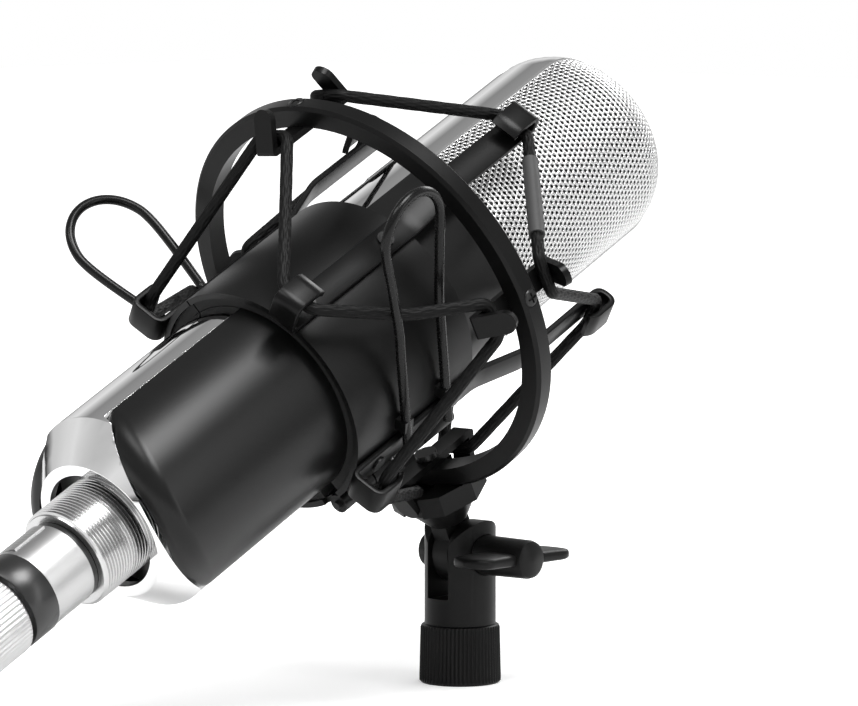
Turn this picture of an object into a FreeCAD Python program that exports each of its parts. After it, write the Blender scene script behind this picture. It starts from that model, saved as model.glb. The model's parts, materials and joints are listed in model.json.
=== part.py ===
import FreeCAD, Part
import math
import os
import re
import Sketcher

# Large-diaphragm condenser microphone in an elastic shock mount on a swivel stand adapter.
# Stand frame: origin at the mouth of the stand thread, +Z up, +X along the swivel bolt,
# +Y towards the grille. Ring, cradle and microphone frames have +Z along the microphone's
# axis towards the grille and +Y from the axis down to the stem.

doc = FreeCAD.newDocument("condenser_microphone")
sheet = doc.addObject("Spreadsheet::Sheet", "Sizes")

DIMENSIONS = {
    # pose of the ring over the stand
    "axis_rise": 26.4, "pivot_height": 31.0, "stem_reach": 70.4, "sag": 3.5, "front_turn": 12.0,
    # stand adapter
    "nut_radius": 9.4, "nut_height": 14.0, "thread_radius": 7.94, "thread_length": 8.6,
    "thread_depth": 10.8,
    "neck_radius": 4.1, "clevis_radius": 8.5, "slot_width": 6.4, "slot_floor": 20.5,
    "bolt_radius": 2.5, "tongue_width": 4.8, "tongue_radius": 7.2, "running_gap": 0.05,
    "wing_span": 34.0, "wing_thick": 3.2, "wing_depth": 11.0, "barrel_radius": 4.6,
    # ring and tongue brackets
    "ring_radius": 50.8, "ring_wall": 5.0, "ring_width": 5.4, "edge_chamfer": 0.8,
    "bracket_width": 5.4, "bracket_thick": 1.6, "bracket_half": 14.4, "tongue_length": 10.0,
    "tongue_lean": 22.0, "screw_radius": 1.2, "screw_head": 2.1, "screw_sink": 1.4,
    "stem_screw_radius": 1.5, "stem_screw_head": 2.7,
    # elastic cord
    "cord_radius": 1.4, "cord_along": 9.8, "cord_spread": 4.2, "sleeve_radius": 1.9,
    "hook_radius": 35.2, "front_hook": 41.2, "rear_hook": 40.2, "hook_spread": 4.4,
    # cradle
    "jaw_radius": 28.4, "jaw_wall": 1.4, "jaw_length": 43.0, "hinge_angle": 25.0,
    "hinge_radius": 29.7, "knuckle_radius": 2.3, "pin_radius": 1.0, "strap_width": 7.0,
    "strap_thick": 1.4, "rivet_radius": 1.2, "rivet_head": 2.0, "rivet_height": 0.6,
    "wire_radius": 1.0, "boss_size": 3.0, "leg_spread": 7.5, "coil_radius": 0.4,
    # microphone
    "body_radius": 24.5, "body_wall": 1.9, "body_bottom": 99.5, "body_top": 24.0,
    "grille_top": 90.0, "crown_radius": 15.0, "grille_wall": 0.8, "band_width": 17.0,
    "band_wall": 2.2, "frame_bottom": 100.0, "bevel_start": 91.5, "bevel_radius": 17.0,
    "hole_radius": 14.35, "arch_radius": 33.0, "collar_radius": 12.0, "collar_end": 112.0,
    "socket_radius": 8.1, "capsule_height": 57.0, "capsule_radius": 15.0, "rail_offset": 17.5,
    "pin_circle": 4.4, "contact_pin": 1.15, "contact_tube": 1.6,
    # cable plug
    "plug_radius": 9.75, "nose_radius": 8.05, "barrel_end": 125.4, "band_end": 133.0,
    "knurl_start": 134.3, "knurl_end": 148.0, "tail_end": 160.0, "plug_end": 166.0,
}
for row, (alias, number) in enumerate(DIMENSIONS.items(), start=1):
    sheet.set("A%d" % row, alias)
    sheet.set("B%d" % row, str(number))
    sheet.setAlias("B%d" % row, alias)
doc.recompute()

ARM_ANGLES = {"lower_right": 51.0, "upper_right": 141.0, "upper_left": 231.0, "lower_left": 321.0}
BRACKET_ANGLES = {"bottom": 0.0, "right": 92.5, "top": 182.5, "left": 270.0}
SCREWED = [BRACKET_ANGLES[name] for name in ("right", "top", "left")]
PIN_ANGLES = (90.0, 200.0, 340.0)
CORD_SPANS = {"lower_right": ("bottom", "right"), "upper_right": ("right", "top"),
              "upper_left": ("top", "left"), "lower_left": ("left", "bottom")}
Vector = FreeCAD.Vector
AXIS_Z = Vector(0, 0, 1)


def expand(expression):
    """Put the sheet's name before each alias in an expression."""
    def prefix(match):
        word = match.group(0)
        return "Sizes." + word if word in DIMENSIONS else word
    return re.sub(r"[a-z_]+", prefix, str(expression))


def size(expression):
    """The value of an expression over the sheet's aliases."""
    value = sheet.evalExpression(expand(expression))
    return float(getattr(value, "Value", value))


def bind(item, **expressions):
    for name, expression in expressions.items():
        item.setExpression(name, expand(expression))
    return item


def ring_frame():
    rise = math.radians(size("axis_rise"))
    reach = size("stem_reach")
    base = Vector(0, -reach * math.sin(rise), size("pivot_height") + reach * math.cos(rise))
    return FreeCAD.Placement(base, FreeCAD.Rotation(Vector(1, 0, 0), size("axis_rise") - 90))


STAND = FreeCAD.Placement()
RING = ring_frame()
CRADLE = RING.multiply(FreeCAD.Placement(Vector(0, size("sag"), 0), FreeCAD.Rotation()))
MIC = CRADLE.multiply(FreeCAD.Placement(Vector(), FreeCAD.Rotation(AXIS_Z, -size("front_turn"))))
finished = []


def finish(item, label, frame):
    """Label a sub-part and put it in its frame; a bare primitive keeps its own place in a group."""
    if item.TypeId in ("Part::Box", "Part::Cylinder"):
        item = fuse_one(item)
    item.Label = label
    item.Placement = frame
    finished.append(item)
    return item


def cylinder(radius, length, start="0", axis="Z"):
    item = doc.addObject("Part::Cylinder", "Cylinder")
    bind(item, Radius=radius, Height=length)
    turns = {"Z": FreeCAD.Rotation(), "X": FreeCAD.Rotation(Vector(0, 1, 0), 90),
             "Y": FreeCAD.Rotation(Vector(1, 0, 0), -90)}
    item.Placement.Rotation = turns[axis]
    item.setExpression("Placement.Base." + axis.lower(), expand(start))
    return item


def block(dx, dy, dz, x="0", y="0", z="0"):
    """A box of the given sides centred on x, y, z."""
    item = doc.addObject("Part::Box", "Box")
    bind(item, Length=dx, Width=dy, Height=dz)
    for axis, centre, side in (("x", x, dx), ("y", y, dy), ("z", z, dz)):
        item.setExpression("Placement.Base." + axis, expand("(%s) - (%s) / 2" % (centre, side)))
    return item


def cut(base, tool):
    item = doc.addObject("Part::Cut", "Cut")
    item.Base, item.Tool = base, tool
    return item


def fuse(*items):
    item = doc.addObject("Part::MultiFuse", "Fuse")
    item.Shapes = list(items)
    return item


def fuse_one(item):
    """A group of one, so that the sub-part gets a Placement apart from its own turn."""
    group = doc.addObject("Part::Compound", "Group")
    group.Links = [item]
    return group


def common(first, second):
    item = doc.addObject("Part::Common", "Common")
    item.Base, item.Tool = first, second
    return item


def holder(shape, name="Shape"):
    """A plain feature for a shape that no primitive describes."""
    item = doc.addObject("Part::Feature", name)
    item.Shape = shape
    return item


def turned(outline, name="Turned"):
    """A PartDesign body revolved about Z from an outline of (radius, height) expressions."""
    body = doc.addObject("PartDesign::Body", name)
    sketch = body.newObject("Sketcher::SketchObject", "Outline")
    plane = [f for f in body.Origin.OriginFeatures if f.Role == "XZ_Plane"][0]
    sketch.AttachmentSupport = (plane, "")
    sketch.MapMode = "FlatFace"
    points = [Vector(size(r), size(z), 0) for r, z in outline]
    for start, end in zip(points, points[1:] + points[:1]):
        sketch.addGeometry(Part.LineSegment(start, end), False)
    for index in range(len(points)):
        sketch.addConstraint(Sketcher.Constraint("Coincident", index, 2, (index + 1) % len(points), 1))
    for index, (radius, height) in enumerate(outline):
        for kind, expression, line in (("DistanceX", radius, -2), ("DistanceY", height, -1)):
            value = size(expression)
            if abs(value) < 1e-9:
                sketch.addConstraint(Sketcher.Constraint("PointOnObject", index, 1, line))
                continue
            number = sketch.addConstraint(Sketcher.Constraint(kind, -1, 1, index, 1, value))
            sketch.setExpression("Constraints[%d]" % number, expand(expression))
    turn = body.newObject("PartDesign::Revolution", "Revolution")
    turn.Profile = sketch
    turn.ReferenceAxis = (sketch, ["V_Axis"])
    turn.Angle = 360.0
    body.Tip = turn
    doc.recompute()
    return body


def polar(radius, angle, along):
    """A point in the ring, cradle or microphone frame; angle 0 is the stem, 90 the +X side."""
    a = math.radians(angle)
    return Vector(radius * math.sin(a), radius * math.cos(a), along)


def swing(item, angle):
    """Turn a piece that was built on the +X side to an angle round the axis."""
    group = doc.addObject("Part::Compound", "Turned")
    group.Links = [item]
    group.Placement.Rotation = FreeCAD.Rotation(AXIS_Z, 90 - angle)
    return group


def rod(points, radius):
    """A round rod along straight runs, rounded at every bend."""
    pieces = []
    for start, end in zip(points, points[1:]):
        run = end - start
        pieces.append(Part.makeCylinder(radius, run.Length, start, run))
    for point in points[1:-1]:
        pieces.append(Part.makeSphere(radius, point))
    return pieces[0].fuse(pieces[1:]) if len(pieces) > 1 else pieces[0]


def sector(inner, outer, length, start, begin, end):
    """A piece of tube between two angles round the axis."""
    tube = Part.makeCylinder(outer, length, Vector(0, 0, start), AXIS_Z, end - begin)
    bore = Part.makeCylinder(inner, length + 2, Vector(0, 0, start - 1), AXIS_Z, 360)
    tube.rotate(Vector(), AXIS_Z, 90 - end)
    return tube.cut(bore)


def stand_adapter():
    nut = turned([("thread_radius", "0"), ("nut_radius + 0.3", "0"), ("nut_radius", "nut_height"),
                  ("neck_radius + running_gap", "nut_height"),
                  ("neck_radius + running_gap", "thread_depth"), ("thread_radius + 0.3", "thread_depth"),
                  ("thread_radius + 0.3", "thread_length"), ("thread_radius", "thread_length")])
    finish(nut, "stand_nut", STAND)

    column = cylinder("clevis_radius", "pivot_height - nut_height + clevis_radius",
                      "nut_height + running_gap")
    crown = cylinder("clevis_radius - 0.3", "4 * clevis_radius", "-2 * clevis_radius", "X")
    crown.setExpression("Placement.Base.z", expand("pivot_height"))
    lower = block("3 * clevis_radius", "3 * clevis_radius", "pivot_height - 10", z="(pivot_height + 10) / 2")
    clevis = fuse(common(column, fuse(crown, lower)),
                  cylinder("neck_radius", "nut_height - thread_depth + 0.2", "thread_depth - 0.1"))
    clevis = cut(clevis, block("slot_width", "3 * clevis_radius", "40", z="slot_floor + 20"))
    seats = []
    for start in ("7.6", "-17.6"):
        seat = cylinder("barrel_radius + 0.3", "10", start, "X")
        seat.setExpression("Placement.Base.z", expand("pivot_height"))
        seats.append(seat)
    bore = cylinder("bolt_radius", "4 * clevis_radius", "-2 * clevis_radius", "X")
    bore.setExpression("Placement.Base.z", expand("pivot_height"))
    screw_hole = cylinder("1.5", "8", "thread_depth - 1")
    finish(cut(clevis, fuse(*seats, bore, screw_hole)), "swivel_clevis", STAND)

    screw = fuse(cylinder("5.6", "1.8", "thread_depth - 1.9"), cylinder("1.5", "7", "thread_depth - 1"))
    finish(screw, "retaining_screw", STAND)

    bolt = fuse(cylinder("bolt_radius", "27.6", "-7.6", "X"), cylinder("4.2", "2.2", "-9.8", "X"))
    for piece in bolt.Shapes:
        piece.setExpression("Placement.Base.z", expand("pivot_height"))
    finish(bolt, "swivel_bolt", STAND)

    washers = []
    for start in ("tongue_width / 2 + running_gap", "-slot_width / 2"):
        ring = cylinder("5.6", "(slot_width - tongue_width) / 2 - running_gap", start, "X")
        hole = cylinder("bolt_radius", "20", "-10", "X")
        for piece in (ring, hole):
            piece.setExpression("Placement.Base.z", expand("pivot_height"))
        washers.append(cut(ring, hole))
    finish(fuse(*washers), "friction_washers", STAND)

    barrel = cylinder("barrel_radius", "15.6", "7.7", "X")
    insert_bore = cylinder("3.6", "13", "7", "X")
    insert = cylinder("3.6", "12.3", "7.7", "X")
    thread = cylinder("bolt_radius + running_gap", "13.5", "7", "X")
    for piece in (barrel, insert_bore, insert, thread):
        piece.setExpression("Placement.Base.z", expand("pivot_height"))
    blade = block("wing_depth", "wing_span", "wing_thick", x="11 + wing_depth / 2", z="pivot_height")
    rounded = doc.addObject("Part::Fillet", "RoundedBlade")
    rounded.Base = blade
    doc.recompute()
    upright = [i for i, edge in enumerate(blade.Shape.Edges, 1)
               if abs(edge.tangentAt(edge.FirstParameter).z) > 0.9]
    rounded.Edges = [(i, 4.0, 4.0) for i in upright]
    finish(cut(fuse(barrel, rounded), insert_bore), "wing_nut", STAND)
    finish(cut(insert, thread), "wing_nut_insert", STAND)


def stem():
    """Tongue, flare and saddle, in the ring frame; the pivot is stem_reach down +Y."""
    tongue = cylinder("tongue_radius", "tongue_width", "-tongue_width / 2", "X")
    tongue.setExpression("Placement.Base.y", expand("stem_reach"))
    neck = block("tongue_width", "9", "8.4", y="stem_reach - 6.5")
    flare = doc.addObject("Part::Cone", "Flare")
    bind(flare, Radius1="4.6", Radius2="9.4", Height="6.6")
    flare.Placement.Rotation = FreeCAD.Rotation(Vector(1, 0, 0), 90)
    flare.setExpression("Placement.Base.y", expand("ring_radius + 10.4"))
    plate = doc.addObject("Part::Prism", "Saddle")
    plate.Polygon = 8
    bind(plate, Circumradius="11.6", Height="5.2")
    plate.Placement.Rotation = FreeCAD.Rotation(Vector(1, 0, 0), 90)
    plate.setExpression("Placement.Base.y", expand("ring_radius + 4"))
    groove = cylinder("ring_radius", "ring_width", "-ring_width / 2")
    hub = cylinder("bolt_radius + running_gap", "20", "-10", "X")
    hub.setExpression("Placement.Base.y", expand("stem_reach"))
    screw_hole = cylinder("stem_screw_radius", "20", "ring_radius - 8", "Y")
    clear = cylinder("ring_radius - ring_wall", "60", "-30")
    spaces = [block("bracket_width + 0.6", "6", "30", y="ring_radius - 2.4")]
    for side in ("-1", "1"):
        spaces.append(block("bracket_width + 0.6", "12", "8.6", y="ring_radius + 1", z="%s * 13.0" % side))
    body = cut(fuse(tongue, neck, flare, plate), fuse(groove, hub, screw_hole, clear, *spaces))
    finish(body, "ring_stem", RING)
    screw = fuse(cylinder("stem_screw_radius", "17", "ring_radius - ring_wall - 1.8", "Y"),
                 cylinder("stem_screw_head", "1.4", "ring_radius - ring_wall - 3.15", "Y"))
    finish(screw, "stem_screw", RING)


def bracket_tongue(side):
    """The rounded end of a bracket, bent outward and back over the cord."""
    tip = cylinder("bracket_width / 2", "bracket_thick", "-bracket_thick / 2")
    tip.setExpression("Placement.Base.x", expand("tongue_length - bracket_width / 2"))
    straight = "(tongue_length - bracket_width / 2)"
    blade = block(straight, "bracket_width", "bracket_thick", x=straight + " / 2")
    bend = cylinder("bracket_thick / 2", "bracket_width", "-bracket_width / 2", "Y")
    tongue = fuse_one(fuse(blade, tip, bend))
    corner = Vector(size("ring_radius - ring_wall - bracket_thick / 2"), 0,
                    side * size("bracket_half - bracket_thick / 2"))
    lean = FreeCAD.Rotation(Vector(0, 1, 0), side * size("tongue_lean"))
    tongue.Placement = FreeCAD.Placement(corner, lean)
    return tongue


def ring_parts():
    half, chamfer = "ring_width / 2", "edge_chamfer"
    outline = [("ring_radius - ring_wall", "-(%s)" % half),
               ("ring_radius - %s" % chamfer, "-(%s)" % half),
               ("ring_radius", "-(%s) + %s" % (half, chamfer)), ("ring_radius", "%s - %s" % (half, chamfer)),
               ("ring_radius - %s" % chamfer, half), ("ring_radius - ring_wall", half)]
    holes = [cylinder("stem_screw_radius", "20", "ring_radius - 10", "Y")]
    for angle in SCREWED:
        holes.append(swing(cylinder("screw_radius", "20", "ring_radius - 10", "X"), angle))
        holes.append(swing(cylinder("screw_head", "10", "ring_radius - screw_sink", "X"), angle))
    finish(cut(turned(outline, "Ring"), fuse(*holes)), "outer_ring", RING)

    for name, angle in BRACKET_ANGLES.items():
        bend = "(bracket_half - bracket_thick / 2)"
        hoop = cut(cylinder("ring_radius - ring_wall", "2 * " + bend, "-" + bend),
                   cylinder("ring_radius - ring_wall - bracket_thick", "60", "-30"))
        strip = common(hoop, block("30", "bracket_width", "2 * bracket_half", x="ring_radius - 10"))
        screw = "stem_screw_radius" if name == "bottom" else "screw_radius"
        hole = cylinder(screw, "20", "ring_radius - 15", "X")
        bracket = cut(fuse(strip, bracket_tongue(-1), bracket_tongue(1)), hole)
        finish(fuse_one(swing(bracket, angle)), "bracket_" + name, RING)

    screws = []
    for angle in SCREWED:
        shaft = swing(cylinder("screw_radius", "ring_wall + bracket_thick - screw_sink",
                               "ring_radius - ring_wall - bracket_thick", "X"), angle)
        head = swing(cylinder("screw_head", "screw_sink - 0.2", "ring_radius - screw_sink", "X"), angle)
        screws.extend([shaft, head])
    finish(fuse(*screws), "bracket_screws", RING)


def tongue_middle(angle, side):
    """Where the cord lies behind a bracket's tongue."""
    return polar(size("ring_radius - ring_wall + cord_radius + 0.1"), angle, side * size("cord_along"))


def cord_points(arm, side):
    """The run of cord from one tongue over an arm's hook to the next tongue, in the ring frame."""
    sag = Vector(0, size("sag"), 0)
    spread = size("cord_spread")
    points = []
    for name, offset in zip(CORD_SPANS[arm], (spread, -spread)):
        bracket = BRACKET_ANGLES[name]
        points.append(tongue_middle(bracket, side) + polar(offset, bracket + 90, 0))
    angle = ARM_ANGLES[arm]
    across = polar(size("hook_spread"), angle + 90, 0)
    along = size("rear_hook") if side > 0 else -size("front_hook")
    hook = polar(size("hook_radius"), angle, along) + sag
    return [points[0], hook - across, hook + across, points[1]]


def elastic():
    """One elastic cord: a zigzag on each face of the ring, between tongues and hooks."""
    radius = size("cord_radius")
    for side, name in ((-1, "front"), (1, "back")):
        bends = []
        for angle in BRACKET_ANGLES.values():
            middle = tongue_middle(angle, side)
            reach = polar(size("cord_spread"), angle + 90, 0)
            bends.append(rod([middle - reach, middle + reach], radius))
        crossings = Part.makeCompound(bends)
        groups = {"fixed": ("upper_left", "lower_left"), "moving": ("lower_right", "upper_right")}
        for group, arms in groups.items():
            runs = []
            for arm in arms:
                run = rod(cord_points(arm, side), radius).cut(crossings)
                if side > 0 and arm == "upper_right":
                    run = run.cut(sleeve_tube())
                runs.extend(run.Solids)
            if group == "fixed":
                runs.extend(bends)
            finish(holder(Part.makeCompound(runs)), "elastic_%s_%s" % (name, group), RING)
    finish(holder(sleeve_tube()), "cord_sleeve", RING)


def sleeve_tube():
    """Shrink sleeve over the cord's joint, on the run from the upper right hook to the right tongue."""
    points = cord_points("upper_right", 1)
    run = points[0] - points[1]
    start = points[1] + run * 0.2
    return Part.makeCylinder(size("sleeve_radius"), run.Length * 0.6, start, run)


def strap_outline():
    """Middle line of a hook arm as (radius, along), from the front tip to the back tip."""
    near = size("jaw_radius + strap_thick / 2")
    return [(36.2, -36.4), (37.3, -38.2), (37.3, -43.6), (35.6, -45.3), (31.4, -45.3), (near, -43.2),
            (near, 2.0), (33.0, 16.0), (33.0, 43.0), (34.4, 44.4), (36.4, 44.4), (37.9, 43.0),
            (37.9, 37.2), (36.8, 35.4)]


def strap(angle):
    half, width = size("strap_thick / 2"), size("strap_width")
    points = [Vector(radius, -width / 2, along) for radius, along in strap_outline()]
    pieces = []
    for start, end in zip(points, points[1:]):
        run = end - start
        across = Vector(0, 1, 0).cross(run).normalize() * half
        corners = [start - across, end - across, end + across, start + across]
        wire = Part.makePolygon(corners + corners[:1])
        pieces.append(Part.Face(wire).extrude(Vector(0, width, 0)))
    for point in points[1:-1]:
        pieces.append(Part.makeCylinder(half, width, point, Vector(0, 1, 0)))
    shape = pieces[0].fuse(pieces[1:]).removeSplitter()
    shape.rotate(Vector(), AXIS_Z, 90 - angle)
    return shape


def jaw_shell(begin, end, knuckles, hinge_begin, hinge_end, pin_gap):
    """Half of the cradle with its hinge knuckles."""
    inner, outer = size("jaw_radius - jaw_wall"), size("jaw_radius")
    length = size("jaw_length")
    pin = polar(size("hinge_radius"), size("hinge_angle"), 0)
    pieces = [sector(inner, outer, length, -length, begin, end)]
    for start, stop in knuckles:
        pieces.append(sector(inner, outer, stop - start, start, hinge_begin, hinge_end))
        pieces.append(Part.makeCylinder(size("knuckle_radius"), stop - start, pin + Vector(0, 0, start)))
    shell = pieces[0].fuse(pieces[1:])
    bore = Part.makeCylinder(size("pin_radius") + pin_gap, 2 * length, pin - Vector(0, 0, 1.5 * length))
    return shell.cut(bore)


REAR_KNUCKLES = [(-42.0, -31.0), (-12.0, -1.0)]
FRONT_KNUCKLES = [(-30.5, -24.0), (-19.0, -12.5)]
RIVETS_ALONG = (-36.0, -7.0)
SPRING_TURNS, SPRING_PITCH, SPRING_START = 4, 1.1, -23.3


def cradle():
    length = size("jaw_length")
    hinge = size("hinge_angle")
    liner_inner = size("body_radius + running_gap")
    liner_outer = size("jaw_radius - jaw_wall")
    core = Part.makeCylinder(liner_outer, 3 * length, Vector(0, 0, -2 * length))
    halves = {
        "front_jaw": (31.0, 204.5, FRONT_KNUCKLES, hinge, 31.5, 0.05, ("lower_right", "upper_right")),
        "rear_jaw": (205.5, 379.0, REAR_KNUCKLES, 378.5, 360 + hinge, 0.0, ("upper_left", "lower_left")),
    }
    for name, (begin, end, knuckles, hinge_begin, hinge_end, gap, arms) in halves.items():
        shell = jaw_shell(begin, end, knuckles, hinge_begin, hinge_end, gap)
        shell = shell.fuse(handle_bosses(name)).cut(core)
        shell = shell.cut(handle(name))
        rivets, straps = [], []
        for arm in arms:
            shape = strap(ARM_ANGLES[arm])
            for along in RIVETS_ALONG:
                outward = polar(1, ARM_ANGLES[arm], 0)
                seat = polar(liner_outer, ARM_ANGLES[arm], along)
                shaft = Part.makeCylinder(size("rivet_radius"), size("jaw_wall + strap_thick"), seat, outward)
                top = polar(size("jaw_radius + strap_thick"), ARM_ANGLES[arm], along)
                head = Part.makeCylinder(size("rivet_head"), size("rivet_height"), top, outward)
                rivets.append(shaft.fuse(head))
            straps.append((arm, shape))
        tool = Part.makeCompound(rivets)
        finish(holder(shell.cut(tool).cut(Part.makeCompound([s for _, s in straps]))), name, CRADLE)
        for arm, shape in straps:
            finish(holder(shape.cut(tool)), "arm_" + arm, CRADLE)
        finish(holder(tool), name + "_rivets", CRADLE)
        liner = sector(liner_inner, liner_outer, length - 2, 1 - length, begin, end)
        finish(holder(liner), name + "_liner", CRADLE)
        finish(holder(handle(name)), "right_handle" if name == "front_jaw" else "left_handle", CRADLE)

    pin = polar(size("hinge_radius"), hinge, -length)
    finish(holder(Part.makeCylinder(size("pin_radius"), length, pin)), "hinge_pin", CRADLE)
    coils = []
    for turn in range(SPRING_TURNS):
        middle = pin + Vector(0, 0, length + SPRING_START + turn * SPRING_PITCH)
        coils.append(Part.makeTorus(size("pin_radius + coil_radius + 0.45"), size("coil_radius"), middle))
    finish(holder(Part.makeCompound(coils)), "hinge_spring", CRADLE)


# The two squeeze handles: where the middle line leaves the jaw and ends, (across the split, along
# the split), then the length from there, place along the axis, loop radius and buried tail.
HANDLE_ENDS = {"front_jaw": ((22.7, 20.0), (-15.4, 60.6)), "rear_jaw": ((-18.4, -25.3), (-61.0, -35.0))}
HANDLE_LENGTH = {"front_jaw": 55.7, "rear_jaw": 43.7}
HANDLE_MIDDLE = {"front_jaw": -20.3, "rear_jaw": -22.3}
HANDLE_LOOP = {"front_jaw": 10.0, "rear_jaw": 11.5}
HANDLE_TAIL = {"front_jaw": -11.0, "rear_jaw": -3.0}
BOSS_PLACE = {"front_jaw": -3.0, "rear_jaw": 0.0}


def wire_plane(forward, along):
    """A point of the squeeze handles' plane; forward runs across the jaws' split."""
    n, p = forward
    turn = math.radians(61.0)
    return Vector(n * math.cos(turn) + p * math.sin(turn), n * math.sin(turn) - p * math.cos(turn), along)


def handle_line(name, distance):
    """Place along a handle's leg at a distance from where it leaves the jaw."""
    start, end = HANDLE_ENDS[name]
    run = math.hypot(end[0] - start[0], end[1] - start[1])
    share = distance / run
    return (start[0] + (end[0] - start[0]) * share, start[1] + (end[1] - start[1]) * share)




def handle_route(name):
    """Two legs and a wide loop, as (distance, along) points."""
    length = HANDLE_LENGTH[name]
    loop, legs, tail = HANDLE_LOOP[name], size("leg_spread"), HANDLE_TAIL[name]
    middle = HANDLE_MIDDLE[name]
    wide = length - loop
    points = [(tail, middle - legs), (wide - 22, middle - legs), (wide - 8, middle - loop + 1)]
    for step in range(0, 9):
        turn = math.pi * step / 8
        points.append((wide + loop * math.sin(turn), middle - loop * math.cos(turn)))
    points += [(wide - 8, middle + loop - 1), (wide - 22, middle + legs), (tail, middle + legs)]
    return points


def handle(name):
    points = [wire_plane(handle_line(name, distance), along) for distance, along in handle_route(name)]
    return rod(points, size("wire_radius"))


def handle_bosses(name):
    """Blocks on the jaw that hold the ends of a handle's legs."""
    bosses = []
    side = size("boss_size")
    for offset in (-size("leg_spread"), size("leg_spread")):
        middle = wire_plane(handle_line(name, BOSS_PLACE[name]), HANDLE_MIDDLE[name] + offset)
        boss = Part.makeBox(side, side, side, Vector(-side / 2 - 0.6, -side / 2, -side / 2))
        boss.rotate(Vector(), AXIS_Z, math.degrees(math.atan2(middle.y, middle.x)))
        boss.translate(middle)
        bosses.append(boss)
    return bosses


def capsule_profile(radius, top, corner, bottom):
    """A solid of revolution with a rounded crown, standing on a flat bottom."""
    middle = corner * (1 - math.sqrt(0.5))
    edges = [Part.LineSegment(Vector(0, 0, bottom), Vector(radius, 0, bottom)),
             Part.LineSegment(Vector(radius, 0, bottom), Vector(radius, 0, top - corner)),
             Part.Arc(Vector(radius, 0, top - corner), Vector(radius - middle, 0, top - middle),
                      Vector(radius - corner, 0, top)),
             Part.LineSegment(Vector(radius - corner, 0, top), Vector(0, 0, top)),
             Part.LineSegment(Vector(0, 0, top), Vector(0, 0, bottom))]
    face = Part.Face(Part.Wire([edge.toShape() for edge in edges]))
    return face.revolve(Vector(), AXIS_Z, 360)


def dome_shell(outer, wall, corner, top, bottom):
    """A thin crown, open at the bottom."""
    inside = capsule_profile(outer - wall, top - wall, corner - wall, bottom - 10)
    return capsule_profile(outer, top, corner, bottom).cut(inside)


def slab(width, begin, end):
    return Part.makeBox(width, 200, end - begin, Vector(-width / 2, -100, begin))


# The round cans on the circuit board: place along the axis, radius and height.
CANS = ((-10.0, 4.0, 9.0), (-30.0, 3.0, 7.0), (-52.0, 5.0, 10.0), (-68.0, 2.5, 6.0))


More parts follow.
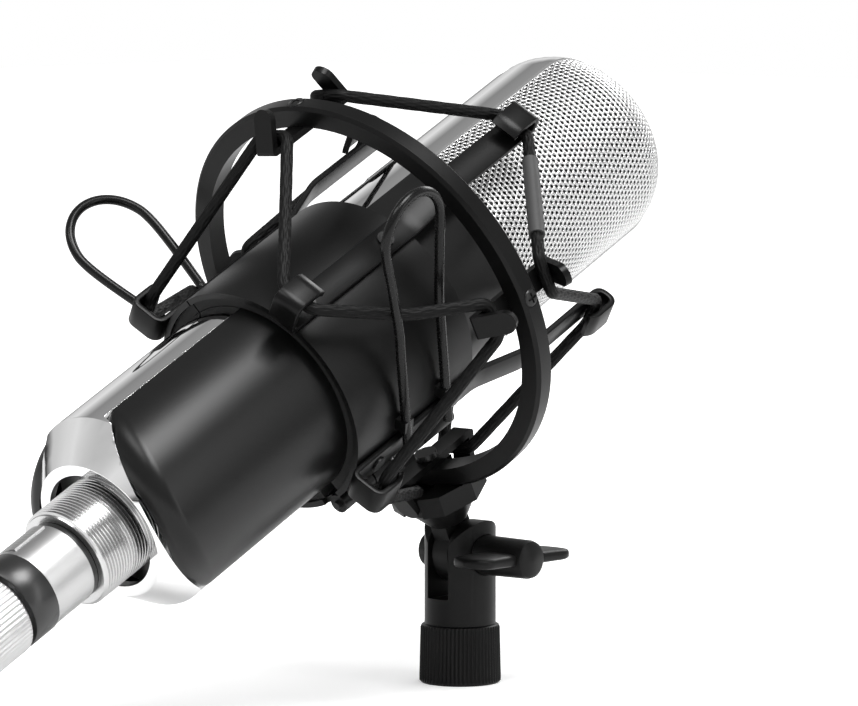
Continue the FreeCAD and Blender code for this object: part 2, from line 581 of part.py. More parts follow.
def microphone():
    outer, bottom = size("body_radius"), -size("frame_bottom")
    top, corner, band = size("grille_top"), size("crown_radius"), size("band_width")
    arch = Part.makeCylinder(size("arch_radius"), 200, Vector(-100, 0, size("arch_radius - body_bottom")),
                             Vector(1, 0, 0))
    above = Part.makeBox(200, 200, 300, Vector(-100, -100, size("arch_radius - body_bottom")))
    arched = arch.fuse(above)
    bevel_outer, bevel_top = size("bevel_radius"), -size("bevel_start")
    wall = size("band_wall")

    def revolved(points):
        corners = [Vector(r, 0, z) for r, z in points]
        return Part.Face(Part.makePolygon(corners + corners[:1])).revolve(Vector(), AXIS_Z, 360)

    outside = capsule_profile(outer, top, corner, bevel_top)
    outside = outside.fuse(revolved([(0, bottom), (bevel_outer, bottom), (outer, bevel_top), (0, bevel_top)]))
    inside = capsule_profile(outer - wall, top - wall, corner - wall, bevel_top)
    inside = inside.fuse(revolved([(0, bottom + wall), (bevel_outer - wall, bottom + wall),
                                   (outer - wall, bevel_top), (0, bevel_top)]))
    hole = Part.makeCylinder(size("hole_radius"), 20, Vector(0, 0, bottom - 5))
    loop = outside.cut(inside).cut(hole)
    band_part = loop.common(slab(band, bottom - 1, top + 1))
    foot = loop.common(Part.makeBox(200, 200, 30, Vector(-100, -100, bottom - 1))).cut(arched)
    finish(holder(band_part.fuse(foot).removeSplitter()), "chrome_frame", MIC)

    skin = outer - size("body_wall")
    low = -size("body_bottom")
    body = Part.makeCylinder(outer, size("body_top + body_bottom"), Vector(0, 0, low))
    rounded = [edge for edge in body.Edges if edge.BoundBox.ZMax < low + 0.01]
    body = body.makeFillet(3.0, rounded)
    hollow = revolved([(0, low - 1), (outer - 6.0, low - 1), (outer - 6.0, low + 1), (skin, low + 7),
                       (skin, 40), (0, 40)])
    body = body.cut(hollow).common(arched).cut(slab(band, low - 5, 60))
    grille = dome_shell(outer - 0.3, size("grille_wall"), corner - 0.3, top - 0.3, size("body_top"))
    grille = grille.cut(slab(band, 0, top + 5))
    foam = dome_shell(outer - wall - 0.1, 1.5, corner - wall, top - wall - 0.1, size("body_top"))
    for name, side in (("front", 1), ("rear", -1)):
        half = Part.makeBox(100, 200, 400, Vector(0 if side > 0 else -100, -100, -200))
        plate = body.common(half)
        finish(holder(plate), name + "_shell", MIC)
        finish(holder(grille.common(half)), name + "_grille", MIC)
    finish(holder(foam), "foam_lining", MIC)

    deck = fuse(cylinder("body_radius - band_wall - 0.1", "2.0", "body_top - 4"),
                cylinder("collar_radius + 1.6", "2.0", "-frame_bottom + 9"))
    rails = []
    for side in ("-1", "1"):
        rails.append(block("6", "2.0", "body_top - 4 + frame_bottom - 11", y="%s * rail_offset" % side,
                           z="(body_top - 4 - frame_bottom + 11) / 2"))
    lower_deck = cylinder("rail_offset + 1.5", "2.0", "-frame_bottom + 9")
    finish(fuse(*rails), "chassis_rails", MIC)
    passage = cylinder("socket_radius", "40", "-frame_bottom - 5")
    finish(cut(fuse(deck, lower_deck), passage), "chassis_decks", MIC)

    finish(block("1.6", "28", "84", z="-38"), "circuit_board", MIC)
    parts = []
    for along, radius, height in CANS:
        parts.append(Part.makeCylinder(radius, height, Vector(0.8, -7, along), Vector(1, 0, 0)))
        parts.append(Part.makeBox(4.0, 7.0, 6.0, Vector(0.8, 4, along - 3)))
    finish(holder(Part.makeCompound(parts)), "board_components", MIC)

    saddle = fuse(block("9", "20", "13", z="body_top - 2 + 6.5"),
                  block("9", "26", "6", z="body_top + 14"))
    ring_space = cylinder("capsule_radius + 1.2", "40", "-20", "X")
    ring_space.setExpression("Placement.Base.z", expand("capsule_height"))
    finish(cut(saddle, ring_space), "capsule_saddle", MIC)
    plate = cylinder("capsule_radius - 1", "5", "-2.5", "X")
    films = [cylinder("capsule_radius - 1", "0.3", start, "X") for start in ("2.5", "-2.8")]
    for disc in (plate, *films):
        disc.setExpression("Placement.Base.z", expand("capsule_height"))
    finish(plate, "capsule_backplate", MIC)
    finish(fuse(*films), "capsule_diaphragms", MIC)
    clamp = cylinder("capsule_radius + 1.2", "7.4", "-3.7", "X")
    core = cylinder("capsule_radius - 1", "5.6", "-2.8", "X")
    window = cylinder("capsule_radius - 3", "20", "-10", "X")
    for piece in (clamp, core, window):
        piece.setExpression("Placement.Base.z", expand("capsule_height"))
    finish(cut(clamp, fuse(core, window)), "capsule_ring", MIC)

    outline = [("socket_radius", "-collar_end"), ("collar_radius - 0.5", "-collar_end"),
               ("collar_radius", "-collar_end + 0.5"), ("collar_radius", "-frame_bottom + 9"),
               ("socket_radius", "-frame_bottom + 9")]
    finish(turned(outline, "Collar"), "thread_collar", MIC)
    finish(cylinder("socket_radius", "4", "-frame_bottom + 5"), "xlr_insert", MIC)
    pins = []
    for angle in PIN_ANGLES:
        pins.append(Part.makeCylinder(size("contact_pin"), 13.0, polar(size("pin_circle"), angle, -108.0)))
    finish(holder(Part.makeCompound(pins)), "xlr_pins", MIC)


def cable_plug():
    seal = cut(cylinder("plug_radius - 0.15", "1.3", "-collar_end - 1.4"),
               cylinder("nose_radius - 0.05", "9", "-collar_end - 4"))
    finish(seal, "plug_seal", MIC)
    outline = [("nose_radius - 1.05", "-band_end - 7"), ("nose_radius", "-band_end - 7"),
               ("nose_radius", "-barrel_end"), ("plug_radius", "-barrel_end"),
               ("plug_radius", "-collar_end - 1.4"), ("nose_radius - 0.05", "-collar_end - 1.4"),
               ("nose_radius - 0.05", "-frame_bottom - 1"), ("nose_radius - 1.05", "-frame_bottom - 1")]
    barrel = turned(outline, "Barrel")
    pocket = block("4.2", "7.0", "10.2", x="plug_radius", z="-collar_end - 7")
    finish(cut(barrel, swing(pocket, 187.0)), "plug_barrel", MIC)
    latch = common(block("2.0", "6.8", "10.0", x="plug_radius - 0.2", z="-collar_end - 7"),
                   cylinder("plug_radius + 0.45", "60", "-collar_end - 40"))
    finish(fuse_one(swing(latch, 187.0)), "plug_latch", MIC)
    tubes, holes = [], []
    for angle in PIN_ANGLES:
        spot = polar(size("pin_circle"), angle, -122.0)
        holes.append(Part.makeCylinder(size("contact_tube"), 30.0, spot))
        socket = Part.makeCylinder(size("contact_pin + running_gap"), 40.0, spot + Vector(0, 0, 1))
        tubes.append(Part.makeCylinder(size("contact_tube"), 20.5, spot).cut(socket))
    core = Part.makeCylinder(size("nose_radius - 1.05"), 21.0, Vector(0, 0, -122.0))
    finish(holder(core.cut(Part.makeCompound(holes))), "plug_insert", MIC)
    finish(holder(Part.makeCompound(tubes)), "plug_contacts", MIC)
    finish(cut(cylinder("plug_radius + 0.2", "band_end - barrel_end", "-band_end"),
               cylinder("nose_radius", "20", "-band_end - 5")), "plug_band", MIC)
    outline = [("3.6", "-knurl_end"), ("plug_radius - 0.1", "-knurl_end"),
               ("plug_radius + 0.3", "-knurl_end + 0.5"),
               ("plug_radius + 0.3", "-knurl_start - 0.4"), ("plug_radius", "-knurl_start"),
               ("nose_radius + running_gap", "-knurl_start"), ("nose_radius + running_gap", "-knurl_end + 3"),
               ("3.6", "-knurl_end + 3")]
    finish(turned(outline, "Collar"), "plug_collar", MIC)
    outline = [("3.6", "-tail_end"), ("6.6", "-tail_end"), ("plug_radius - 1.4", "-tail_end + 4"),
               ("plug_radius - 0.2", "-knurl_end"), ("3.6", "-knurl_end")]
    finish(turned(outline, "Tail"), "plug_tail", MIC)
    outline = [("2.9", "-plug_end"), ("4.2", "-plug_end"), ("5.0", "-tail_end"), ("2.9", "-tail_end")]
    finish(turned(outline, "Bush"), "cable_bush", MIC)


stand_adapter()
stem()
ring_parts()
elastic()
cradle()
microphone()
cable_plug()
doc.recompute()

for item in doc.Objects:
    if "Invalid" in item.State or "Error" in item.State:
        raise RuntimeError("%s (%s) did not recompute" % (item.Name, item.Label))
for item in finished:
    if item.Shape.isNull() or not item.Shape.isValid() or item.Shape.Volume <= 0:
        raise RuntimeError("%s has no valid shape" % item.Label)

os.makedirs("parts", exist_ok=True)
for item in finished:
    item.Shape.exportStep(os.path.join("parts", item.Label + ".step"))
    box = item.Shape.BoundBox
    print("%-22s %2d solids %9.1f mm3  z %.1f to %.1f" % (item.Label, len(item.Shape.Solids),
                                                    item.Shape.Volume, box.ZMin, box.ZMax))
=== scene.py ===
import bmesh
import bpy
import json
import math
from mathutils import Matrix, Vector


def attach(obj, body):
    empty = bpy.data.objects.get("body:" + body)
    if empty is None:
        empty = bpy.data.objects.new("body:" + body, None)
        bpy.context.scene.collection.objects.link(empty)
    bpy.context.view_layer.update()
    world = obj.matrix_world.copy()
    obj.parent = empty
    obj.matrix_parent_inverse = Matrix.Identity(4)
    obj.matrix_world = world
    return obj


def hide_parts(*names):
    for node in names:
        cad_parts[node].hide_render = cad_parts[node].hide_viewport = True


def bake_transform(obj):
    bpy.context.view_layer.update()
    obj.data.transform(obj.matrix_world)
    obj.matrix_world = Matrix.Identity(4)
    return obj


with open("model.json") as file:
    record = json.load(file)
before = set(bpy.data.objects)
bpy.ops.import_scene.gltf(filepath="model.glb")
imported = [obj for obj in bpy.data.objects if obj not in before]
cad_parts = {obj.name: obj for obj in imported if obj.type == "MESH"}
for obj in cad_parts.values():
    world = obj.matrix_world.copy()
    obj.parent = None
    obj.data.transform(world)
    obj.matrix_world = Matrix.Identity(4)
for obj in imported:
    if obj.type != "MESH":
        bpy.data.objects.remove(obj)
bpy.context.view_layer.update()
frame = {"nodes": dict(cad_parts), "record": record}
MM = 0.001

# Frames of the object, in metres: the ring's frame has +Z along the microphone and +Y to the stem.
AXIS_RISE = math.radians(26.4)
PIVOT_HEIGHT = 31.0 * MM
STEM_REACH = 70.4 * MM
SAG = 3.5 * MM
FRONT_TURN = math.radians(12.0)
RING_CENTRE = Vector((0, -STEM_REACH * math.sin(AXIS_RISE),
                      PIVOT_HEIGHT + STEM_REACH * math.cos(AXIS_RISE)))
RING = Matrix.Translation(RING_CENTRE) @ Matrix.Rotation(AXIS_RISE - math.pi / 2, 4, "X")
CRADLE = RING @ Matrix.Translation((0, SAG, 0))
MIC = CRADLE @ Matrix.Rotation(-FRONT_TURN, 4, "Z")
STAND = Matrix.Identity(4)

# Sizes of the parts that are rebuilt here, in millimetres, as the CAD has them; the handle wire is
# a little thicker than its CAD rod.
BODY_RADIUS, BODY_WALL, BODY_TOP, BODY_BOTTOM, ARCH_RADIUS = 24.5, 1.9, 24.0, 99.5, 33.0
BAND_WIDTH, GRILLE_TOP, CROWN_RADIUS = 17.0, 90.0, 15.0
RING_RADIUS, RING_WALL = 50.8, 5.0
CORD_RADIUS, CORD_ALONG, CORD_SPREAD, SLEEVE_RADIUS, WIRE_RADIUS = 1.4, 9.8, 4.2, 1.9, 1.15
HOOK_RADIUS, FRONT_HOOK, REAR_HOOK, HOOK_SPREAD = 35.2, -41.2, 40.2, 4.4
ARM_ANGLES = {"lower_right": 51.0, "upper_right": 141.0, "upper_left": 231.0, "lower_left": 321.0}
BRACKET_ANGLES = {"bottom": 0.0, "right": 92.5, "top": 182.5, "left": 270.0}
CORD_SPANS = {"lower_right": ("bottom", "right"), "upper_right": ("right", "top"),
              "upper_left": ("top", "left"), "lower_left": ("left", "bottom")}


def polar(radius, angle, along):
    """A point in millimetres in a part's frame; angle 0 is the stem and 90 the +X side."""
    turn = math.radians(angle)
    return Vector((radius * math.sin(turn), radius * math.cos(turn), along))


# ---------------------------------------------------------------- materials

def new_material(name, color, metallic=0.0, roughness=0.5, specular=0.5, coat=0.0, coat_roughness=0.2):
    material = bpy.data.materials.new(name)
    material.use_nodes = True
    shader = material.node_tree.nodes["Principled BSDF"]
    shader.inputs["Base Color"].default_value = (*color, 1.0)
    shader.inputs["Metallic"].default_value = metallic
    shader.inputs["Roughness"].default_value = roughness
    shader.inputs["Specular IOR Level"].default_value = specular
    shader.inputs["Coat Weight"].default_value = coat
    shader.inputs["Coat Roughness"].default_value = coat_roughness
    return material


def add_noise(material, scale, color_low, color_high, rough_low, rough_high, bump, stretch=(1, 1, 1)):
    """Fine variation of colour, roughness and height from one noise pattern in object space."""
    tree = material.node_tree
    shader = tree.nodes["Principled BSDF"]
    place = tree.nodes.new("ShaderNodeTexCoord")
    mapping = tree.nodes.new("ShaderNodeMapping")
    mapping.inputs["Scale"].default_value = stretch
    tree.links.new(place.outputs["Object"], mapping.inputs["Vector"])
    fine = tree.nodes.new("ShaderNodeTexNoise")
    fine.inputs["Scale"].default_value = scale
    fine.inputs["Detail"].default_value = 4.0
    tree.links.new(mapping.outputs["Vector"], fine.inputs["Vector"])
    broad = tree.nodes.new("ShaderNodeTexNoise")
    broad.inputs["Scale"].default_value = scale / 25
    tree.links.new(place.outputs["Object"], broad.inputs["Vector"])
    tint = tree.nodes.new("ShaderNodeValToRGB")
    tint.color_ramp.elements[0].color = (*color_low, 1)
    tint.color_ramp.elements[1].color = (*color_high, 1)
    tree.links.new(broad.outputs["Fac"], tint.inputs["Fac"])
    tree.links.new(tint.outputs["Color"], shader.inputs["Base Color"])
    rough = tree.nodes.new("ShaderNodeMapRange")
    rough.inputs["To Min"].default_value = rough_low
    rough.inputs["To Max"].default_value = rough_high
    tree.links.new(fine.outputs["Fac"], rough.inputs["Value"])
    tree.links.new(rough.outputs["Result"], shader.inputs["Roughness"])
    height = tree.nodes.new("ShaderNodeBump")
    height.inputs["Strength"].default_value = bump
    height.inputs["Distance"].default_value = 0.1 * MM
    tree.links.new(fine.outputs["Fac"], height.inputs["Height"])
    tree.links.new(height.outputs["Normal"], shader.inputs["Normal"])
    return material


def black(name, level, rough_low, rough_high, bump, scale, specular=0.5, coat=0.0):
    material = new_material(name, (level, level, level), roughness=rough_low, specular=specular, coat=coat)
    dark = (level * 0.85,) * 3
    light = (level * 1.2,) * 3
    return add_noise(material, scale, dark, light, rough_low, rough_high, bump)


def metal(name, level, rough_low, rough_high, bump, scale, tint=(1, 1, 1), stretch=(1, 1, 1)):
    color = tuple(level * part for part in tint)
    material = new_material(name, color, metallic=1.0, roughness=rough_low)
    dark = tuple(part * 0.96 for part in color)
    light = tuple(min(1.0, part * 1.03) for part in color)
    return add_noise(material, scale, dark, light, rough_low, rough_high, bump, stretch)


MATERIALS = {
    "mount_plastic": black("mount_plastic", 0.004, 0.34, 0.44, 0.1, 2200, 0.15),
    "ring_black": black("ring_black", 0.003, 0.28, 0.36, 0.06, 2600, 0.14),
    "strap_black": black("strap_black", 0.003, 0.28, 0.36, 0.06, 2600, 0.14),
    "jaw_black": black("jaw_black", 0.003, 0.3, 0.4, 0.06, 2400, 0.2),
    "liner_rubber": black("liner_rubber", 0.008, 0.65, 0.8, 0.2, 1500, 0.3),
    "elastic": black("elastic", 0.003, 0.45, 0.6, 0.15, 5000, 0.12),
    "sleeve": black("sleeve", 0.032, 0.5, 0.62, 0.2, 1800, 0.4),
    "wire_black": black("wire_black", 0.003, 0.24, 0.3, 0.01, 2000, 0.2),
    "black_fastener": black("black_fastener", 0.006, 0.3, 0.4, 0.05, 3000, 0.3),
    "shell_black": black("shell_black", 0.003, 0.3, 0.36, 0.04, 3000, 0.25),
    "inner_plastic": black("inner_plastic", 0.03, 0.45, 0.55, 0.1, 2000),
    "foam": black("foam", 0.02, 0.85, 0.95, 0.8, 900, 0.2),
    "component": black("component", 0.04, 0.3, 0.4, 0.05, 1500),
    "plug_black": black("plug_black", 0.010, 0.28, 0.36, 0.05, 2500, 0.5),
    "steel": metal("steel", 0.6, 0.25, 0.38, 0.05, 900),
    "brass": metal("brass", 0.85, 0.2, 0.32, 0.05, 1200, (1.0, 0.78, 0.42)),
    "diaphragm": metal("diaphragm", 0.95, 0.15, 0.25, 0.03, 800, (1.0, 0.8, 0.4)),
    "chrome": metal("chrome", 0.9, 0.03, 0.07, 0.005, 300),
    "grille_metal": metal("grille_metal", 0.66, 0.22, 0.32, 0.03, 1400),
    "collar_metal": metal("collar_metal", 0.55, 0.16, 0.26, 0.04, 1200),
    "plug_satin": metal("plug_satin", 0.48, 0.28, 0.42, 0.2, 3500),
    "board": add_noise(new_material("board", (0.02, 0.12, 0.05), roughness=0.3), 900,
                       (0.015, 0.10, 0.04), (0.03, 0.15, 0.07), 0.25, 0.35, 0.1),
}


# ---------------------------------------------------------------- mesh helpers

def place(name, mesh, matrix, slot, body, replaces=()):
    """Add a mesh, made in millimetres in a part's frame, as a piece of the model."""
    mesh.transform(matrix @ Matrix.Scale(MM, 4))
    piece = bpy.data.objects.new(name, mesh)
    bpy.context.scene.collection.objects.link(piece)
    piece.data.materials.append(MATERIALS[slot])
    if body:
        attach(piece, body)
    if replaces:
        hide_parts(*replaces)
    return piece


def mesh_from(name, points, faces, smooth=True):
    mesh = bpy.data.meshes.new(name)
    mesh.from_pydata([tuple(p) for p in points], [], faces)
    mesh.validate()
    work = bmesh.new()
    work.from_mesh(mesh)
    bmesh.ops.recalc_face_normals(work, faces=work.faces)
    work.to_mesh(mesh)
    work.free()
    for face in mesh.polygons:
        face.use_smooth = smooth
    return mesh


def sharpen(mesh, degrees=35.0):
    mesh.set_sharp_from_angle(angle=math.radians(degrees))
    return mesh


def lathe(name, outline, segments=160, ribs=0, rib_depth=0.0, ribbed=()):
    """Turn a closed outline of (radius, along) about Z; its points in ribbed carry straight ribs."""
    points, faces = [], []
    for step in range(segments):
        turn = 2 * math.pi * step / segments
        phase = (step * ribs / segments) % 1.0 if ribs else 0.0
        dip = rib_depth * (0.5 - 0.5 * math.cos(2 * math.pi * phase))
        for index, (radius, along) in enumerate(outline):
            r = radius - (dip if index in ribbed else 0.0)
            points.append((r * math.cos(turn), r * math.sin(turn), along))
    count = len(outline)
    for step in range(segments):
        here, there = step * count, (step + 1) % segments * count
        for index in range(count):
            after = (index + 1) % count
            faces.append((here + index, there + index, there + after, here + after))
    return sharpen(mesh_from(name, points, faces))


def smooth_line(points, steps=12):
    """A Catmull-Rom line through the points."""
    line = []
    padded = [points[0] * 2 - points[1]] + list(points) + [points[-1] * 2 - points[-2]]
    for a, b, c, d in zip(padded, padded[1:], padded[2:], padded[3:]):
        for step in range(steps):
            t = step / steps
            line.append(0.5 * (2 * b + (c - a) * t + (2 * a - 5 * b + 4 * c - d) * t * t
                               + (3 * b - a - 3 * c + d) * t ** 3))
    line.append(points[-1].copy())
    return line


def even_line(line, spacing):
    """The same line with points a fixed distance apart."""
    out, carry = [line[0].copy()], 0.0
    for start, end in zip(line, line[1:]):
        run = (end - start).length
        at = spacing - carry
        while at <= run:
            out.append(start.lerp(end, at / run))
            at += spacing
        carry = (carry + run) % spacing if run else carry
    out.append(line[-1].copy())
    return out


def tube(name, line, radius, sides=20, weave=0.0, strands=8, lay=4.2):
    """A round tube along a line; weave raises two crossing sets of braided strands."""
    points, faces = [], []
    direction = (line[1] - line[0]).normalized()
    normal = direction.orthogonal().normalized()
    travelled = 0.0
    for index, point in enumerate(line):
        before = line[max(index - 1, 0)]
        after = line[min(index + 1, len(line) - 1)]
        forward = (after - before).normalized()
        normal = (normal - forward * normal.dot(forward)).normalized()
        side = forward.cross(normal)
        travelled += (point - before).length
        for step in range(sides):
            turn = 2 * math.pi * step / sides
            r = radius
            if weave:
                wind = 2 * math.pi * travelled / lay
                one = math.cos(strands / 2 * turn + wind)
                two = math.cos(strands / 2 * turn - wind)
                r += weave * (max(one, two) - 0.6)
            points.append(point + (normal * math.cos(turn) + side * math.sin(turn)) * r)
    for index in range(len(line) - 1):
        for step in range(sides):
            a, b = index * sides + step, index * sides + (step + 1) % sides
            faces.append((a, b, b + sides, a + sides))
    last = (len(line) - 1) * sides
    faces.append(tuple(range(sides))[::-1])
    faces.append(tuple(range(last, last + sides)))
    return sharpen(mesh_from(name, points, faces), 60.0)


def refined(node, slot, width):
    """A copy of a CAD node with its hard edges rounded, which stands for that node."""
    source = frame["nodes"][node]
    mesh = source.data.copy()
    mesh.transform(source.matrix_world)
    work = bmesh.new()
    work.from_mesh(mesh)
    bmesh.ops.remove_doubles(work, verts=work.verts, dist=0.002 * MM)
    bmesh.ops.dissolve_limit(work, angle_limit=math.radians(0.4), verts=work.verts, edges=work.edges)
    work.to_mesh(mesh)
    work.free()
    mesh.materials.clear()
    mesh.materials.append(MATERIALS[slot])
    for face in mesh.polygons:
        face.use_smooth = True
    piece = bpy.data.objects.new(node + "_finished", mesh)
    bpy.context.scene.collection.objects.link(piece)
    bevel = piece.modifiers.new("edges", "BEVEL")
    bevel.width = width * MM
    bevel.segments = 2
    bevel.limit_method = "ANGLE"
    bevel.angle_limit = math.radians(32.0)
    bevel.use_clamp_overlap = True
    weighted = piece.modifiers.new("normals", "WEIGHTED_NORMAL")
    weighted.keep_sharp = True
    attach(piece, BODY_OF[node])
    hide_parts(node)
    return piece


BODY_OF = {}
for body, names in frame["record"]["behaviour"]["bodies"].items():
    for name in names:
        BODY_OF[name] = body
SLOT_OF = {entry["node"]: entry["material_slot"] for entry in frame["record"]["subparts"]}


# ---------------------------------------------------------------- stand adapter

def stand_nut():
    outline = [(7.94, 0.0), (9.2, 0.0), (9.7, 0.5), (9.72, 1.3), (9.45, 13.2), (9.2, 13.8), (8.9, 14.0),
               (4.15, 14.0), (4.15, 10.8), (7.94, 10.8)]
    bore = []
    pitch, turns = 0.94, 11
    for turn in range(turns):
        top = 10.6 - turn * pitch
        bore.extend([(7.94, top), (7.5, top - pitch / 2)])
    outline = outline[:-1] + [(7.94, 10.8)] + bore[:-1] + [(7.94, 0.2)]
    mesh = lathe("stand_nut_ribbed", outline, segments=60 * 8, ribs=60, rib_depth=0.42, ribbed=(3, 4))
    return place("stand_nut_ribbed", mesh, STAND, "mount_plastic", "stand_nut", ["stand_nut"])


def wing_nut():
    """Barrel with a rounded blade; the blade's ends swell and then round off, like a moulded thumb wing."""
    points, faces = [], []
    rows, sides = 48, 24
    half, out, pivot = 17.0, 16.4, 31.0
    for row in range(rows + 1):
        y = -half + 2 * half * row / rows
        share = abs(y) / half
        end = math.sqrt(max(0.0, 1 - max(0.0, (share - 0.72) / 0.28) ** 2.2)) * 0.97 + 0.03
        depth = (5.2 + 0.7 * share) * end
        thick = (1.65 - 0.25 * share) * (0.35 + 0.65 * end)
        for side in range(sides):
            turn = 2 * math.pi * side / sides
            x = math.copysign(abs(math.cos(turn)) ** 0.5, math.cos(turn)) * depth
            z = math.copysign(abs(math.sin(turn)) ** 0.5, math.sin(turn)) * thick
            points.append((out + x, y, pivot + z))
    for row in range(rows):
        for side in range(sides):
            a, b = row * sides + side, row * sides + (side + 1) % sides
            faces.append((a, b, b + sides, a + sides))
    faces.append(tuple(range(sides)))
    faces.append(tuple(range(rows * sides, (rows + 1) * sides)))
    blade = mesh_from("wing_blade", points, faces)
    place("wing_blade", blade, STAND, "mount_plastic", "wing_nut")
    outline = [(3.6, 7.7), (4.5, 7.7), (4.75, 8.0), (4.6, 21.6), (4.3, 22.6), (3.4, 23.2),
               (0.01, 23.4), (0.01, 20.6), (3.6, 20.6)]
    barrel = lathe("wing_barrel", outline, 96)
    turn = Matrix.Translation((0, 0, PIVOT_HEIGHT)) @ Matrix.Rotation(math.pi / 2, 4, "Y")
    place("wing_barrel", barrel, turn, "mount_plastic", "wing_nut", ["wing_nut"])


# ---------------------------------------------------------------- ring, elastic, handles

def phillips_head(name, matrix, radius, body, slot="black_fastener"):
    """A pan head with a cross recess; the head looks along +Z."""
    dome = lathe(name, [(0.01, 0.35), (radius * 0.6, 0.3), (radius * 0.9, 0.12), (radius, -0.15),
                        (radius, -0.7), (0.01, -0.7)], 48)
    head = bpy.data.objects.new(name, dome)
    bpy.context.scene.collection.objects.link(head)
    work = bmesh.new()
    for angle in (0.0, math.pi / 2):
        arm = bmesh.ops.create_cube(work, size=1.0)["verts"]
        bmesh.ops.scale(work, vec=(radius * 1.3, radius * 0.26, 0.9), verts=arm)
        bmesh.ops.rotate(work, cent=(0, 0, 0), matrix=Matrix.Rotation(angle, 3, "Z"), verts=arm)
        bmesh.ops.translate(work, vec=(0, 0, 0.3), verts=arm)
    cross = bpy.data.meshes.new("cross")
    work.to_mesh(cross)
    work.free()
    tool = bpy.data.objects.new("cross", cross)
    bpy.context.scene.collection.objects.link(tool)
    carve = head.modifiers.new("cross", "BOOLEAN")
    carve.operation = "DIFFERENCE"
    carve.solver = "EXACT"
    carve.use_self = True
    carve.object = tool
    made = bpy.data.meshes.new_from_object(head.evaluated_get(bpy.context.evaluated_depsgraph_get()))
    bpy.data.objects.remove(head)
    bpy.data.objects.remove(tool)
    place(name, sharpen(made, 30), matrix, slot, body)


def bracket_screws():
    for name, angle in BRACKET_ANGLES.items():
        if name == "bottom":
            continue
        out = polar(RING_RADIUS + 0.1, angle, 0) * MM
        look = out.to_track_quat("Z", "Y").to_matrix().to_4x4()
        phillips_head("ring_screw_" + name, RING @ Matrix.Translation(out) @ look, 2.0, "ring_mount")


def cord_run(arm, side):
    """Points of the cord from tongue to hook to tongue, in the ring's frame, in millimetres."""
    radius = RING_RADIUS - RING_WALL + CORD_RADIUS + 0.1
    ends = []
    for bracket, toward in zip(CORD_SPANS[arm], (1.0, -1.0)):
        angle = BRACKET_ANGLES[bracket]
        middle = polar(radius, angle, side * CORD_ALONG)
        ends.append([middle, middle + polar(toward * CORD_SPREAD, angle + 90, 0)])
    hook_along = FRONT_HOOK if side < 0 else REAR_HOOK
    hook = polar(HOOK_RADIUS, ARM_ANGLES[arm], hook_along) + Vector((0, SAG / MM, 0))
    across = polar(HOOK_SPREAD - 0.2, ARM_ANGLES[arm] + 90, 0)
    return ends[0] + [hook - across, hook, hook + across] + ends[1][::-1]


def taut_line(points, bend=2.6):
    """Straight runs with small tangent bends, as a cord pulled tight over hooks."""
    line = [points[0]]
    for before, corner, after in zip(points, points[1:], points[2:]):
        back, ahead = (before - corner), (after - corner)
        reach = min(bend, back.length * 0.48, ahead.length * 0.48)
        start = corner + back.normalized() * reach
        end = corner + ahead.normalized() * reach
        for step in range(7):
            t = step / 6
            line.append(start * (1 - t) ** 2 + corner * 2 * t * (1 - t) + end * t * t)
    line.append(points[-1])
    return even_line(line, 0.22)


def elastic():
    moving = ("lower_right", "upper_right")
    for side, face in ((-1, "front"), (1, "back")):
        for arm in ARM_ANGLES:
            points = cord_run(arm, side)
            if side < 0 and arm == "upper_right":
                points = points[:2] + handle_crossing(points[2], points[1]) + points[2:]
            mesh = tube("cord", taut_line(points), CORD_RADIUS + 0.02, 48, weave=0.11, strands=20, lay=6.0)
            name = "cord_%s_%s" % (face, arm)
            body = None if arm in moving else "ring_mount"
            nodes = []
            if arm == "upper_right":
                nodes = ["elastic_%s_moving" % face]
            if arm == "upper_left":
                nodes = ["elastic_%s_fixed" % face]
            piece = place(name, mesh, RING, "elastic", body, nodes)
            if arm in moving:
                bend_with_jaw(piece)
            if side > 0 and arm == "upper_right":
                sleeve(points)


def handle_crossing(start, end):
    """Where the front cord bears on the right handle's outer leg, it is pushed outward."""
    middle = start.lerp(end, 0.52)
    outward = Vector((middle.x, middle.y, 0)).normalized()
    return [middle + outward * 0.6 + Vector((0, 2.4, 0))]


def bend_with_jaw(piece):
    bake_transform(piece)


def sleeve(points):
    start = points[2].lerp(points[1], 0.2)
    end = points[2].lerp(points[1], 0.8)
    line, count = [], 60
    for step in range(count + 1):
        line.append(start.lerp(end, step / count))
    mesh = tube("cord_sleeve_finished", line, SLEEVE_RADIUS, sides=32)
    piece = place("cord_sleeve_finished", mesh, RING, "sleeve", None, ["cord_sleeve"])
    bend_with_jaw(piece)


def wire_plane(forward, along):
    n, p = forward
    turn = math.radians(61.0)
    return Vector((n * math.cos(turn) + p * math.sin(turn), n * math.sin(turn) - p * math.cos(turn), along))


# Squeeze handles: the body, the two ends of the middle line in the plane across the jaws' split,
# the buried tail, the place along the axis and the loop's radius.
HANDLES = {
    "right_handle": ("front_jaw", (22.7, 20.0), (-15.4, 60.6), -11.0, -20.3, 10.0),
    "left_handle": ("ring_mount", (-18.4, -25.3), (-61.0, -35.0), -3.0, -22.3, 11.5),
}


